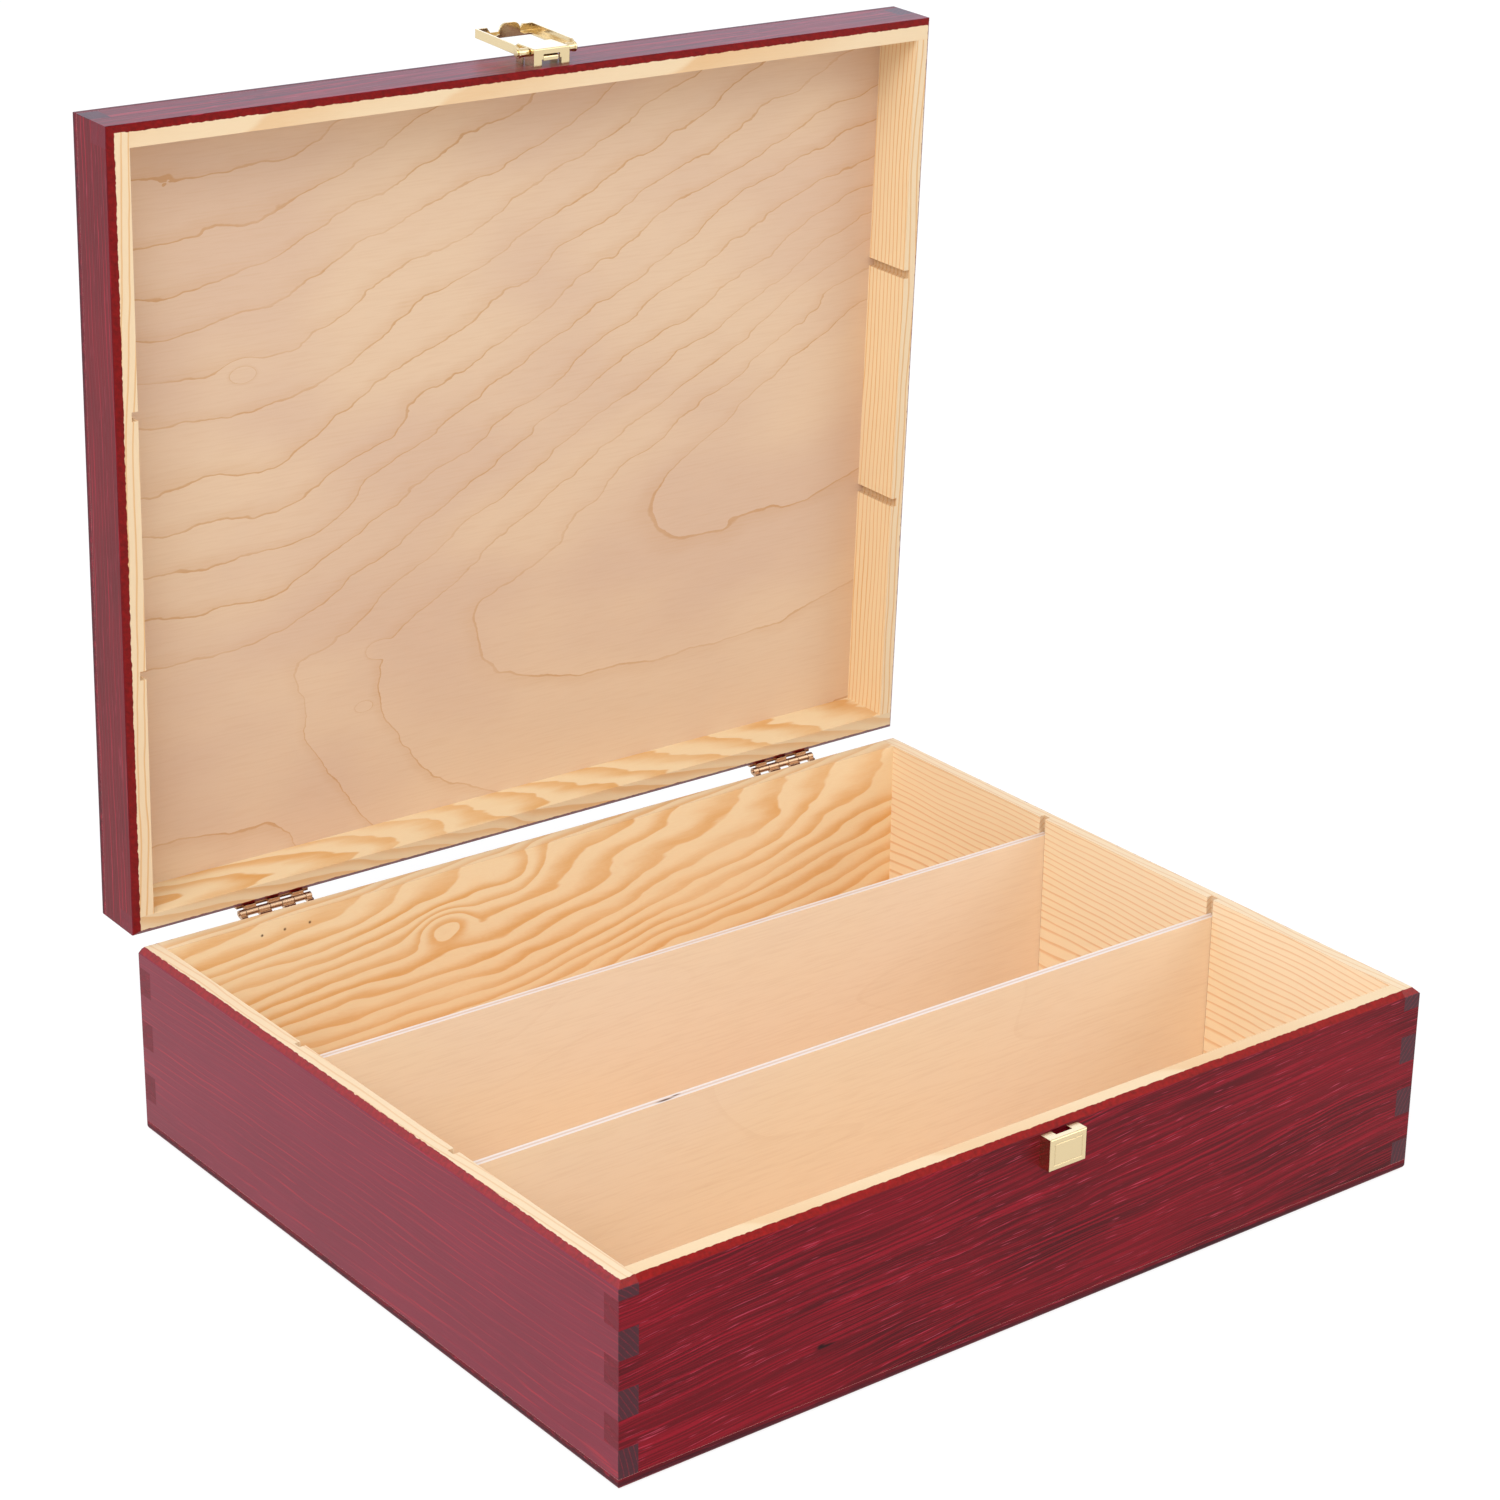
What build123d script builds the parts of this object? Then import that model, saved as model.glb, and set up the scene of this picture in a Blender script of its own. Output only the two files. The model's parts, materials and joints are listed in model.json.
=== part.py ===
from build123d import *
import math
import os

# Wooden wine box for three bottles, shown with its hinged lid standing open.
# Millimetres, +Z up. The origin is the centre of the box's underside, the long
# front with the catch faces -Y and the hinges are on the back.
os.makedirs("parts", exist_ok=True)

# Box body: four boards glued between two plywood panels, then sawn into base and lid
box_length = 350.0
box_depth = 294.0
board_thickness = 7.6
base_board_height = 69.0
lid_board_height = 21.5
panel_thickness = 4.0
panel_edge_radius = 2.0

# The groove at the parting line leaves a bevel on both rims
rim_bevel = 2.2
rear_rim_bevel = 0.8

# Finger joints, cut before the box was sawn open
finger_pitch = 10.5
saw_kerf = 3.0
finger_drop = 1.5

# Loose plywood dividers and the grooves that hold them
divider_thickness = 3.0
divider_spacing = 94.4
divider_below_rim = 7.0
groove_depth = 2.4
groove_clearance = 0.2
divider_end_clearance = 0.4

# Butt hinges on the back faces
lid_open_angle = 88.0
hinge_from_end = 57.5
hinge_length = 30.0
hinge_stand_off = 2.4
leaf_height = 13.0
leaf_thickness = 1.2
leaf_corner_radius = 1.5
knuckle_radius = 1.35
knuckle_gap = 0.2
knuckle_relief = 0.4
whole_knuckles = 5
hinge_pin_radius = 0.65
hinge_pin_overhang = 0.4
pin_clearance = 0.05

# Slotted hinge screws with flat round heads
screw_spacing = 19.0
screw_from_axis = 8.4
screw_head_radius = 1.9
screw_head_height = 0.7
screw_shank_radius = 1.0
screw_length = 6.4
screw_slot_width = 0.5
screw_slot_depth = 0.4

# Catch box on the base, a little to the right of the middle
latch_offset = 2.4
catch_width = 16.0
catch_height = 11.7
catch_depth = 5.4
catch_below_rim = 2.5
catch_sheet = 0.8
catch_notch_width = 7.0
catch_notch_depth = 2.8
catch_edge_radius = 0.6
emboss_inset = 1.8
emboss_line = 0.4
emboss_depth = 0.12

# Latch housing on the lid
housing_width = 15.2
housing_height = 11.1
housing_depth = 6.5
housing_above_rim = 4.3
housing_sheet = 0.7
housing_edge_radius = 0.5
housing_foot_gap = 8.4
housing_foot_height = 2.6
housing_window_width = 7.0
housing_window_top = 4.4
housing_slit_width = 1.9
housing_slit_height = 3.0
slit_above_pivot = 1.7

# Prongs that hold the catch and the housing in the wood
prong_width = 1.6
prong_length = 5.0
prong_spacing = 6.4

# Swinging lever of the latch, which reaches round the catch when the lid is shut
lever_width = 24.6
lever_length = 26.5
lever_sheet = 0.7
lever_flange_height = 2.6
lever_window_width = 17.8
lever_ear_radius = 1.9
lever_flange_slope = 1.4
lever_tilt = 1.5
barrel_radius = 1.6
barrel_gap = 0.4
pivot_above_rim = 8.2
pivot_stand_off = 4.9
tab_reach = 4.6
tab_width = 9.0
tab_root_width = 12.0
tab_root_height = 0.7
tab_corner_radius = 3.0
tab_clearance = 0.2
end_dip_width = 12.6
end_dip_slope = 1.4
end_dip_height = 0.7
latch_pin_radius = 0.8
latch_pin_head_radius = 1.3
latch_pin_head_height = 0.45

# Leaf spring under the housing
spring_width = 6.4
spring_thickness = 0.4
spring_lip_radius = 0.8
spring_lip_length = 0.9

# Places that follow from the sizes above
half_length = box_length / 2
half_depth = box_depth / 2
rim_height = panel_thickness + base_board_height
lid_board_top = rim_height + lid_board_height
hinge_line_y = half_depth + hinge_stand_off
hinge_line_z = rim_height + (rim_bevel - rear_rim_bevel) / 2
divider_top = rim_height - divider_below_rim
groove_width = divider_thickness + 2 * groove_clearance
pivot_height = rim_height + pivot_above_rim
catch_top = rim_height - catch_below_rim
catch_bottom = catch_top - catch_height
housing_bottom = rim_height + housing_above_rim
hinge_centres = (-half_length + hinge_from_end, half_length - hinge_from_end)

# The base is drawn on the ground frame. The lid is drawn shut and its frame is swung open.
# The hinge line lies at the middle of the groove that the two rear bevels form.
base_frame = Plane.XY
swing = Pos(0, hinge_line_y, hinge_line_z) * Rot(-lid_open_angle, 0, 0) * Pos(0, -hinge_line_y, -hinge_line_z)
lid_frame = Plane(swing)
lever_place = Pos(latch_offset, -half_depth - pivot_stand_off, pivot_height) * Rot(90 + lever_tilt, 0, 0)
lever_frame = Plane(swing * lever_place)


def side_plane(frame, x):
    """Plane square to the frame's X at x, whose sketch axes are the frame's Y and Z."""
    return Plane(origin=frame.from_local_coords((x, 0, 0)), x_dir=frame.y_dir, z_dir=frame.x_dir)


def front_plane(frame, y):
    """Plane square to the frame's Y at y, facing forwards, whose sketch axes are X and Z."""
    return Plane(origin=frame.from_local_coords((0, y, 0)), x_dir=frame.x_dir, z_dir=-frame.y_dir)


def block(frame, x_span, y_span, z_span, mode=Mode.ADD):
    """Straight block between the given limits in a frame."""
    with BuildSketch(frame.offset(z_span[0])) as outline:
        with Locations(((x_span[0] + x_span[1]) / 2, (y_span[0] + y_span[1]) / 2)):
            Rectangle(x_span[1] - x_span[0], y_span[1] - y_span[0])
    extrude(outline.sketch, amount=z_span[1] - z_span[0], mode=mode)


def rod(frame, x_span, y, z, radius, mode=Mode.ADD):
    """Round bar along the frame's X."""
    with BuildSketch(side_plane(frame, x_span[0])) as outline:
        with Locations((y, z)):
            Circle(radius)
    extrude(outline.sketch, amount=x_span[1] - x_span[0], mode=mode)


def finger_spans(for_sides, drop, kerf, low, high):
    """Height spans at one corner that belong to the side boards, or to the front and back ones."""
    start = panel_thickness - drop - kerf
    spans = []
    index = 0
    while start + index * finger_pitch < high:
        bottom = max(start + index * finger_pitch, low)
        top = min(start + (index + 1) * finger_pitch, high)
        if top > bottom and (index % 2 == 0) == for_sides:
            spans.append((bottom, top))
        index += 1
    return spans


def corner_drop(x_sign, y_sign):
    """The front left corner's fingers start higher than the other three."""
    return 0.0 if x_sign < 0 and y_sign < 0 else finger_drop


def corner_limits(x_sign, y_sign):
    """X and Y limits of one corner column of the box."""
    x_span = sorted((x_sign * half_length, x_sign * (half_length - board_thickness)))
    y_span = sorted((y_sign * half_depth, y_sign * (half_depth - board_thickness)))
    return x_span, y_span


def cut_bevel(frame, rim, up, x_sign, y_sign, size):
    """45 degree bevel along one outer edge of a rim whose wood lies below (up=1) or above (up=-1)."""
    reach = 1.0
    if x_sign == 0:
        plane = side_plane(frame, -half_length - reach)
        edge, sign, run = y_sign * half_depth, y_sign, box_length + 2 * reach
    else:
        plane = front_plane(frame, half_depth + reach)
        edge, sign, run = x_sign * half_length, x_sign, box_depth + 2 * reach
    outer = edge + sign * reach
    with BuildSketch(plane) as outline:
        with BuildLine():
            Polyline(
                (outer, rim - up * (size + reach)),
                (edge - sign * (size + reach), rim + up * reach),
                (outer, rim + up * reach),
                close=True,
            )
        make_face()
    extrude(outline.sketch, amount=run, mode=Mode.SUBTRACT)


def long_board(frame, y_sign, low, high, rim, up, rear_bevel):
    """Front or back board with its corner fingers and bevelled rim edge."""
    kerf = saw_kerf if up < 0 else 0.0
    y_span = sorted((y_sign * half_depth, y_sign * (half_depth - board_thickness)))
    block(frame, (-half_length, half_length), y_span, (low, high))
    for x_sign in (-1, 1):
        x_corner, y_corner = corner_limits(x_sign, y_sign)
        for span in finger_spans(True, corner_drop(x_sign, y_sign), kerf, low, high):
            block(frame, x_corner, y_corner, span, Mode.SUBTRACT)
        cut_bevel(frame, rim, up, x_sign, 0, rim_bevel)
    cut_bevel(frame, rim, up, 0, y_sign, rear_bevel if y_sign > 0 else rim_bevel)


def side_board(frame, x_sign, low, high, rim, up, rear_bevel):
    """Left or right board with its fingers, bevelled rim edge and two divider grooves."""
    kerf = saw_kerf if up < 0 else 0.0
    x_span = sorted((x_sign * half_length, x_sign * (half_length - board_thickness)))
    block(frame, x_span, (-half_depth, half_depth), (low, high))
    for y_sign in (-1, 1):
        x_corner, y_corner = corner_limits(x_sign, y_sign)
        for span in finger_spans(False, corner_drop(x_sign, y_sign), kerf, low, high):
            block(frame, x_corner, y_corner, span, Mode.SUBTRACT)
        cut_bevel(frame, rim, up, 0, y_sign, rear_bevel if y_sign > 0 else rim_bevel)
        groove_x = sorted((x_sign * (half_length - board_thickness), x_sign * groove_bottom_x()))
        groove_y = y_sign * divider_spacing / 2
        groove_span = (groove_y - groove_width / 2, groove_y + groove_width / 2)
        block(frame, groove_x, groove_span, (low, high), Mode.SUBTRACT)
    cut_bevel(frame, rim, up, x_sign, 0, rim_bevel)


def groove_bottom_x():
    """Distance from the middle of the box to the bottom of a divider groove."""
    return half_length - board_thickness + groove_depth


def prongs(frame, width, sheet, middle_height, mode=Mode.ADD):
    """Four flat prongs that run from the side walls of a latch piece into the board."""
    for x_sign in (-1, 1):
        outer_x = latch_offset + x_sign * width / 2
        x_span = sorted((outer_x, outer_x - x_sign * sheet))
        for z_sign in (-1, 1):
            z = middle_height + z_sign * prong_spacing / 2
            z_span = (z - prong_width / 2, z + prong_width / 2)
            block(frame, x_span, (-half_depth, -half_depth + prong_length), z_span, mode)


def screw_points(up):
    """X and height of every screw in one leaf row, below (up=-1) or above (up=1) the hinge line."""
    height = hinge_line_z + up * screw_from_axis
    return [(x + side * screw_spacing / 2, height) for x in hinge_centres for side in (-1, 1)]


def screw_solid(frame, x, z, clearance=0.0, mode=Mode.ADD):
    """Screw whose round head lies on the leaf, or with clearance the hole for it."""
    face_y = half_depth + leaf_thickness
    head_y = face_y + screw_head_height
    with BuildSketch(side_plane(frame, x)) as outline:
        with BuildLine():
            Polyline(
                (head_y, z),
                (head_y, z + screw_head_radius + clearance),
                (face_y, z + screw_head_radius + clearance),
                (face_y, z + screw_shank_radius + clearance),
                (face_y - screw_length, z + screw_shank_radius + clearance),
                (face_y - screw_length, z),
                close=True,
            )
        make_face()
    centre_line = Axis(frame.from_local_coords((x, 0, z)), frame.y_dir)
    revolve(outline.sketch, axis=centre_line, mode=mode)


def hinge_screws(frame, up):
    """All screws of one leaf row, each with its driver slot."""
    head_y = half_depth + leaf_thickness + screw_head_height
    for x, z in screw_points(up):
        screw_solid(frame, x, z)
    for x, z in screw_points(up):
        slot_x = (x - screw_head_radius, x + screw_head_radius)
        slot_z = (z - screw_slot_width / 2, z + screw_slot_width / 2)
        block(frame, slot_x, (head_y - screw_slot_depth, head_y), slot_z, Mode.SUBTRACT)


def knuckle_spans(centre, base_side):
    """X spans of the knuckles of one leaf: the end ones are half as long as the rest."""
    pitch = hinge_length / (whole_knuckles + 1)
    start = centre - hinge_length / 2
    edges = [start] + [start + (index + 0.5) * pitch for index in range(whole_knuckles + 1)]
    edges.append(start + hinge_length)
    spans = []
    for index in range(len(edges) - 1):
        if (index % 2 == 0) == base_side:
            low = edges[index] + (knuckle_gap / 2 if index > 0 else 0.0)
            high = edges[index + 1] - (knuckle_gap / 2 if index < len(edges) - 2 else 0.0)
            spans.append((low, high))
    return spans


def knuckle_neck(frame, x_span, up):
    """Bent strip, as thick as the leaf, that leads the sheet from the leaf over the top of a knuckle."""
    near_edge = hinge_line_z + up * (knuckle_radius + knuckle_relief)
    knuckle_top = hinge_line_z + up * knuckle_radius
    with BuildSketch(side_plane(frame, x_span[0])) as outline:
        with BuildLine():
            Polyline(
                (half_depth, near_edge),
                (half_depth + leaf_thickness, near_edge),
                (hinge_line_y, knuckle_top),
                (hinge_line_y, knuckle_top - up * leaf_thickness),
                (half_depth, near_edge - up * leaf_thickness),
                close=True,
            )
        make_face()
    extrude(outline.sketch, amount=x_span[1] - x_span[0])


def hinge_leaf(frame, centre, up, base_side):
    """One leaf with its share of the knuckles, its pin bore and two screw holes."""
    x_span = (centre - hinge_length / 2, centre + hinge_length / 2)
    far_edge = hinge_line_z + up * leaf_height
    near_edge = hinge_line_z + up * (knuckle_radius + knuckle_relief)
    with BuildSketch(front_plane(frame, half_depth + leaf_thickness)) as outline:
        with Locations((centre, (far_edge + near_edge) / 2)):
            Rectangle(hinge_length, abs(far_edge - near_edge))
        corners = outline.vertices().sort_by(Axis.Y)
        fillet(corners[2:] if up > 0 else corners[:2], leaf_corner_radius)
    extrude(outline.sketch, amount=leaf_thickness)
    for span in knuckle_spans(centre, base_side):
        knuckle_neck(frame, span, up)
        rod(frame, span, hinge_line_y, hinge_line_z, knuckle_radius)
    rod(frame, x_span, hinge_line_y, hinge_line_z, hinge_pin_radius + pin_clearance, Mode.SUBTRACT)
    for x, z in screw_points(up):
        if abs(x - centre) < hinge_length / 2:
            screw_solid(frame, x, z, pin_clearance, Mode.SUBTRACT)


def save(part, name):
    """Label one piece and write it out."""
    part.label = name
    export_step(part, f"parts/{name}.step")


# Base: four boards on a plywood bottom
with BuildPart() as base_front_board:
    long_board(base_frame, -1, panel_thickness, rim_height, rim_height, 1, rear_rim_bevel)
    catch_middle = (catch_bottom + catch_top) / 2
    prongs(base_frame, catch_width, catch_sheet, catch_middle, Mode.SUBTRACT)
save(base_front_board.part, "base_front_board")

with BuildPart() as base_back_board:
    long_board(base_frame, 1, panel_thickness, rim_height, rim_height, 1, rear_rim_bevel)
    for screw_x, screw_z in screw_points(-1):
        screw_solid(base_frame, screw_x, screw_z, mode=Mode.SUBTRACT)
save(base_back_board.part, "base_back_board")

with BuildPart() as base_left_board:
    side_board(base_frame, -1, panel_thickness, rim_height, rim_height, 1, rear_rim_bevel)
save(base_left_board.part, "base_left_board")

with BuildPart() as base_right_board:
    side_board(base_frame, 1, panel_thickness, rim_height, rim_height, 1, rear_rim_bevel)
save(base_right_board.part, "base_right_board")

with BuildPart() as base_bottom_panel:
    block(base_frame, (-half_length, half_length), (-half_depth, half_depth), (0, panel_thickness))
    fillet(base_bottom_panel.faces().sort_by(Axis.Z)[0].edges(), panel_edge_radius)
save(base_bottom_panel.part, "base_bottom_panel")

# Dividers: they stand on the bottom in the grooves of the side boards and lift straight out
for divider_name, divider_sign in (("divider_front", -1), ("divider_rear", 1)):
    with BuildPart() as divider:
        divider_end = groove_bottom_x() - divider_end_clearance
        divider_y = divider_sign * divider_spacing / 2
        divider_limits = (divider_y - divider_thickness / 2, divider_y + divider_thickness / 2)
        block(base_frame, (-divider_end, divider_end), divider_limits, (panel_thickness, divider_top))
    save(divider.part, divider_name)

# Lid: the sawn-off top of the same box
with BuildPart() as lid_front_board:
    long_board(lid_frame, -1, rim_height, lid_board_top, rim_height, -1, rim_bevel)
    housing_middle = housing_bottom + housing_height / 2
    prongs(lid_frame, housing_width, housing_sheet, housing_middle, Mode.SUBTRACT)
save(lid_front_board.part, "lid_front_board")

with BuildPart() as lid_back_board:
    long_board(lid_frame, 1, rim_height, lid_board_top, rim_height, -1, rim_bevel)
    for screw_x, screw_z in screw_points(1):
        screw_solid(lid_frame, screw_x, screw_z, mode=Mode.SUBTRACT)
save(lid_back_board.part, "lid_back_board")

with BuildPart() as lid_left_board:
    side_board(lid_frame, -1, rim_height, lid_board_top, rim_height, -1, rim_bevel)
save(lid_left_board.part, "lid_left_board")

with BuildPart() as lid_right_board:
    side_board(lid_frame, 1, rim_height, lid_board_top, rim_height, -1, rim_bevel)
save(lid_right_board.part, "lid_right_board")

with BuildPart() as lid_top_panel:
    lid_height = (lid_board_top, lid_board_top + panel_thickness)
    block(lid_frame, (-half_length, half_length), (-half_depth, half_depth), lid_height)
    lid_up = Axis(lid_frame.origin, lid_frame.z_dir)
    fillet(lid_top_panel.faces().sort_by(lid_up)[-1].edges(), panel_edge_radius)
save(lid_top_panel.part, "lid_top_panel")

# Hinges: a leaf on each back board, knuckles that interleave and a pin through them
for hinge_name, hinge_x in (("left", hinge_centres[0]), ("right", hinge_centres[1])):
    with BuildPart() as base_leaf:
        hinge_leaf(base_frame, hinge_x, -1, True)
    save(base_leaf.part, f"hinge_{hinge_name}_base_leaf")

    with BuildPart() as lid_leaf:
        hinge_leaf(lid_frame, hinge_x, 1, False)
    save(lid_leaf.part, f"hinge_{hinge_name}_lid_leaf")

    with BuildPart() as hinge_pin:
        pin_half = hinge_length / 2 + hinge_pin_overhang
        rod(base_frame, (hinge_x - pin_half, hinge_x + pin_half), hinge_line_y, hinge_line_z, hinge_pin_radius)
    save(hinge_pin.part, f"hinge_{hinge_name}_pin")

with BuildPart() as hinge_screws_base:
    hinge_screws(base_frame, -1)
save(hinge_screws_base.part, "hinge_screws_base")

with BuildPart() as hinge_screws_lid:
    hinge_screws(lid_frame, 1)
save(hinge_screws_lid.part, "hinge_screws_lid")

# Catch: a folded sheet box, open below and behind, with a notch in its top
with BuildPart() as catch_box:
    catch_x = (latch_offset - catch_width / 2, latch_offset + catch_width / 2)
    catch_face = -half_depth - catch_depth
    block(base_frame, catch_x, (catch_face, -half_depth), (catch_bottom, catch_top))
    catch_front_edges = catch_box.faces().sort_by(Axis.Y)[0].edges()
    fillet(catch_front_edges, catch_edge_radius)
    catch_inside_x = (catch_x[0] + catch_sheet, catch_x[1] - catch_sheet)
    catch_inside_y = (catch_face + catch_sheet, -half_depth)
    block(base_frame, catch_inside_x, catch_inside_y, (catch_bottom, catch_top - catch_sheet), Mode.SUBTRACT)
    notch_x = (latch_offset - catch_notch_width / 2, latch_offset + catch_notch_width / 2)
    notch_y = (-half_depth - catch_notch_depth, -half_depth)
    block(base_frame, notch_x, notch_y, (catch_top - catch_sheet, catch_top), Mode.SUBTRACT)
    with BuildSketch(front_plane(base_frame, catch_face)):
        with Locations((latch_offset, catch_middle)):
            emboss_width = catch_width - 2 * emboss_inset
            emboss_height = catch_height - 2 * emboss_inset
            Rectangle(emboss_width, emboss_height)
            Rectangle(emboss_width - 2 * emboss_line, emboss_height - 2 * emboss_line, mode=Mode.SUBTRACT)
    extrude(amount=-emboss_depth, mode=Mode.SUBTRACT)
    prongs(base_frame, catch_width, catch_sheet, catch_middle)
save(catch_box.part, "catch_box")

# Latch housing: a folded sheet box on the lid, open behind, on two feet at the rim end
with BuildPart() as latch_housing:
    housing_top = housing_bottom + housing_height
    housing_x = (latch_offset - housing_width / 2, latch_offset + housing_width / 2)
    housing_face = -half_depth - housing_depth
    block(lid_frame, housing_x, (housing_face, -half_depth), (housing_bottom, housing_top))
    lid_back = Axis(lid_frame.origin, lid_frame.y_dir)
    fillet(latch_housing.faces().sort_by(lid_back)[0].edges(), housing_edge_radius)
    inside_x = (housing_x[0] + housing_sheet, housing_x[1] - housing_sheet)
    inside_y = (housing_face + housing_sheet, -half_depth)
    block(lid_frame, inside_x, inside_y, (housing_bottom + housing_sheet, housing_top), Mode.SUBTRACT)
    end_wall = (housing_bottom, housing_bottom + housing_sheet)
    foot_x = (latch_offset - housing_foot_gap / 2, latch_offset + housing_foot_gap / 2)
    block(lid_frame, foot_x, (-half_depth - housing_foot_height, -half_depth), end_wall, Mode.SUBTRACT)
    window_x = (latch_offset - housing_window_width / 2, latch_offset + housing_window_width / 2)
    block(lid_frame, window_x, (-half_depth - housing_window_top, -half_depth), end_wall, Mode.SUBTRACT)
    slit_low = pivot_height + slit_above_pivot
    slit_y = (-half_depth - housing_slit_height, -half_depth)
    block(lid_frame, housing_x, slit_y, (slit_low, slit_low + housing_slit_width), Mode.SUBTRACT)
    bore = latch_pin_radius + pin_clearance
    rod(lid_frame, housing_x, -half_depth - pivot_stand_off, pivot_height, bore, Mode.SUBTRACT)
    prongs(lid_frame, housing_width, housing_sheet, housing_middle)
save(latch_housing.part, "latch_housing")

# Leaf spring: fixed to the top of the housing, passes between pin and wood and ends in a lip at the window
with BuildPart() as latch_spring:
    spring_root = housing_face + housing_sheet + spring_thickness / 2
    spring_pass = -half_depth - pivot_stand_off + latch_pin_radius + spring_thickness
    spring_bend = (spring_pass - spring_root) / 2
    spring_knee = pivot_height + latch_pin_radius + spring_thickness + 2 * spring_bend
    spring_lip = housing_bottom + housing_sheet
    with BuildSketch(side_plane(lid_frame, latch_offset - spring_width / 2)):
        with BuildLine():
            root = Line((spring_root, housing_top), (spring_root, spring_knee))
            first_bend = JernArc(start=root @ 1, tangent=root % 1, radius=spring_bend, arc_size=90)
            second_bend = JernArc(start=first_bend @ 1, tangent=first_bend % 1, radius=spring_bend, arc_size=-90)
            blade = Line(second_bend @ 1, (spring_pass, spring_lip + spring_lip_radius))
            lip = JernArc(start=blade @ 1, tangent=blade % 1, radius=spring_lip_radius, arc_size=90)
            Line(lip @ 1, (spring_pass + spring_lip_radius + spring_lip_length, spring_lip))
        trace(line_width=spring_thickness)
    extrude(amount=spring_width)
save(latch_spring.part, "latch_spring")

# Latch pin: riveted over outside the lever's flanges
with BuildPart() as latch_pin:
    shank_half = lever_width / 2 + pin_clearance
    pin_y = -half_depth - pivot_stand_off
    rod(lid_frame, (latch_offset - shank_half, latch_offset + shank_half), pin_y, pivot_height, latch_pin_radius)
    for head_sign in (-1, 1):
        head_inner = latch_offset + head_sign * shank_half
        head_outer = head_inner + head_sign * latch_pin_head_height
        rod(lid_frame, sorted((head_inner, head_outer)), pin_y, pivot_height, latch_pin_head_radius)
save(latch_pin.part, "latch_pin")

# Lever: a folded frame with a window for the catch, a hooked tab and two rolled barrels
with BuildPart() as latch_lever:
    lever_half = lever_width / 2
    window_half = lever_window_width / 2
    tab_from_pivot = pivot_height - catch_bottom + tab_clearance
    block(lever_frame, (-lever_half, lever_half), (0, lever_length), (-lever_sheet, 0))
    block(lever_frame, (-window_half, window_half), (0, tab_from_pivot), (-lever_sheet, 0), Mode.SUBTRACT)
    for arm_sign in (-1, 1):
        with BuildSketch(side_plane(lever_frame, arm_sign * lever_half)):
            with BuildLine():
                Polyline(
                    (0, -lever_sheet),
                    (0, lever_ear_radius),
                    (lever_flange_slope, lever_flange_height),
                    (lever_length, lever_flange_height),
                    (lever_length, -lever_sheet),
                    close=True,
                )
            make_face()
            Circle(lever_ear_radius)
        extrude(amount=-arm_sign * lever_sheet)
        barrel_inner = arm_sign * (housing_width / 2 + barrel_gap)
        barrel_outer = arm_sign * (lever_half - lever_sheet)
        rod(lever_frame, sorted((barrel_inner, barrel_outer)), 0, 0, barrel_radius)
    with BuildSketch(front_plane(lever_frame, lever_length)):
        with BuildLine():
            dip = end_dip_width / 2
            Polyline(
                (-lever_half, -lever_sheet),
                (-lever_half, lever_flange_height),
                (-dip - end_dip_slope, lever_flange_height),
                (-dip, end_dip_height),
                (dip, end_dip_height),
                (dip + end_dip_slope, lever_flange_height),
                (lever_half, lever_flange_height),
                (lever_half, -lever_sheet),
                close=True,
            )
        make_face()
    extrude(amount=lever_sheet)
    with BuildSketch(front_plane(lever_frame, tab_from_pivot + lever_sheet)) as tab_outline:
        with BuildLine():
            Polyline(
                (-tab_root_width / 2, -lever_sheet),
                (-tab_root_width / 2, 0),
                (-tab_width / 2, tab_root_height),
                (-tab_width / 2, tab_reach),
                (tab_width / 2, tab_reach),
                (tab_width / 2, tab_root_height),
                (tab_root_width / 2, 0),
                (tab_root_width / 2, -lever_sheet),
                close=True,
            )
        make_face()
        fillet(tab_outline.vertices().sort_by(Axis.Y)[-2:], tab_corner_radius)
    extrude(amount=lever_sheet)
    rod(lever_frame, (-lever_half, lever_half), 0, 0, latch_pin_radius + pin_clearance, Mode.SUBTRACT)
save(latch_lever.part, "latch_lever")
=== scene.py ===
"""Looks of a stained wooden wine box for three bottles, standing open on a pale floor."""

import json
import math

import bpy
import numpy as np
from mathutils import Matrix, Vector

bl_info = {
    "name": "Wine box looks",
    "version": (1, 0, 0),
    "blender": (4, 5, 0),
    "location": "View3D > Sidebar > Wine Box",
    "description": "Finishes the boards, plywood and brass of a hinged wine box and sets its stage",
    "category": "Object",
}

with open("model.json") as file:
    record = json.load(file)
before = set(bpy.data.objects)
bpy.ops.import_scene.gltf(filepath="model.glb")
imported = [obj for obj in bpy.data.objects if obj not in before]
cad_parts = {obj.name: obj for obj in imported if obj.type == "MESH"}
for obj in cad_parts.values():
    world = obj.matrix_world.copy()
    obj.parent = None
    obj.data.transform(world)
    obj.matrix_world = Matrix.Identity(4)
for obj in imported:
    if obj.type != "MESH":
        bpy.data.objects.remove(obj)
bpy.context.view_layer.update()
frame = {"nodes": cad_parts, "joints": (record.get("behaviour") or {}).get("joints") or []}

MM = 1000.0
HINGE_LINE = Vector(next(joint["pos_m"] for joint in frame["joints"] if joint["name"] == "lid_hinge")) * MM
LID_ANGLE = math.radians(88.0)

# Outer faces, parting plane and inner faces of the shut box, in millimetres
HALF_LENGTH = 175.0
HALF_DEPTH = 147.0
RIM_HEIGHT = 73.0
INNER_HALF_LENGTH = 167.4
INNER_HALF_DEPTH = 139.4

# Inner faces and middle planes of the bottom and the top panel
PANEL_FACES = (4.0, 94.5)
PANEL_MIDDLES = (2.0, 96.5)

# Middle plane of the rear divider, with the front one opposite, and half their thickness
DIVIDER_MIDDLE = 47.2
DIVIDER_HALF = 1.5

# Width of the bevel on the back board of the base, narrower than elsewhere
REAR_BEVEL = 0.8

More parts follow.
